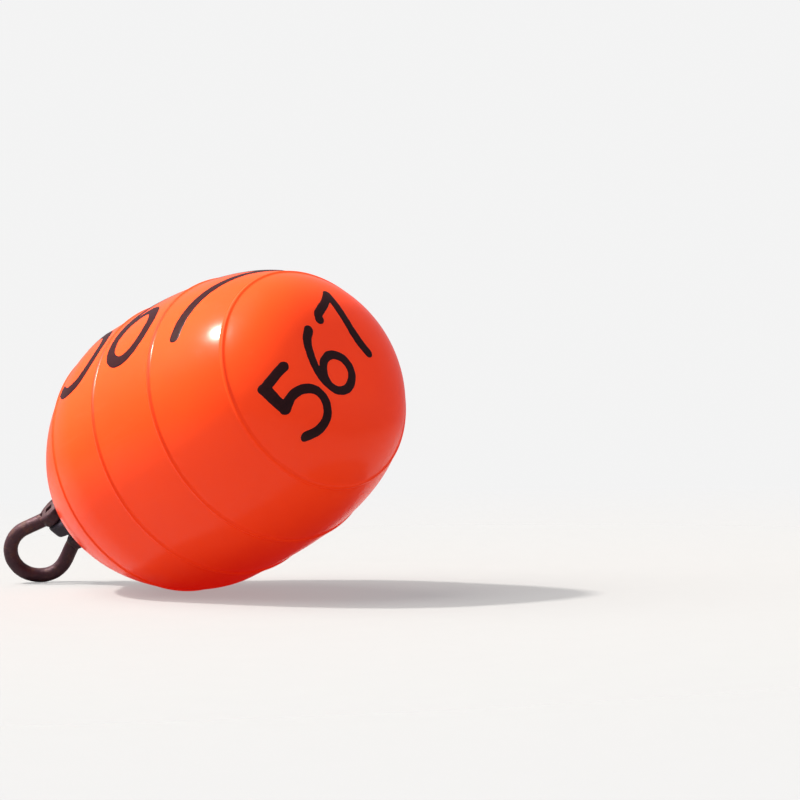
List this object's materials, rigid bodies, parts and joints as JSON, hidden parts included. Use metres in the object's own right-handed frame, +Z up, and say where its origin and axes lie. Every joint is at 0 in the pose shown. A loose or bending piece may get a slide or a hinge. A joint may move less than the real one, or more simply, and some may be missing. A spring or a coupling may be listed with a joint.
{
  "type": "marker float",
  "caption": "Inflated teardrop vinyl float with raised ribs, a moulded rope eye, a flush-pin iron bow shackle and a screw-plug air valve.",
  "frame": {"origin": "centre of the flat disc moulded in the crown, on its outer face", "axes": "+X out of the crown along the hull's axis, +Z up with the float lying on its side; the shackle end is at -X"},
  "size_m": [0.5826, 0.3042, 0.3042],
  "materials": {
    "hull_vinyl": "glossy soft vinyl, lightly scuffed",
    "eye_vinyl": "solid moulded vinyl, worn satin",
    "shackle_iron": "forged, dark brown-purple, weathered",
    "valve_nylon": "moulded, off-white",
    "valve_rubber": "moulded, matt",
    "plug_nylon": "moulded, satin"
  },
  "bodies": {
    "hull": {"float_body": "hull_vinyl", "rope_eye": "eye_vinyl", "valve_housing": "valve_nylon", "ball_retainer": "valve_nylon"},
    "shackle": {"shackle_bow": "shackle_iron", "shackle_pin": "shackle_iron"},
    "check_ball": {"check_ball": "valve_rubber"},
    "washer": {"plug_washer": "valve_rubber"},
    "plug": {"valve_plug": "plug_nylon"}
  },
  "joints": [
    {"name": "shackle_swing", "type": "hinge", "parent": "hull", "child": "shackle", "pos_m": [-0.50802, 0.00146, -0.00432], "axis": [0, 0.7373, -0.6756], "range_deg": [-78, 141]},
    {"name": "ball_lift", "type": "slide", "parent": "hull", "child": "check_ball", "axis": [0.723, -0.4667, -0.5093], "range_m": [0, 0.004]},
    {"name": "plug_lift", "type": "slide", "parent": "hull", "child": "washer", "axis": [-0.723, 0.4667, 0.5093], "range_m": [0, 0.0111]},
    {"name": "plug_turn", "type": "hinge", "parent": "washer", "child": "plug", "pos_m": [-0.41912, 0.04893, 0.0534], "axis": [-0.723, 0.4667, 0.5093], "range_deg": [0, 1980]}
  ],
  "couplings": [
    {"joint": "plug_lift", "follows": "plug_turn", "m_per_rad": 0.00031831}
  ]
}
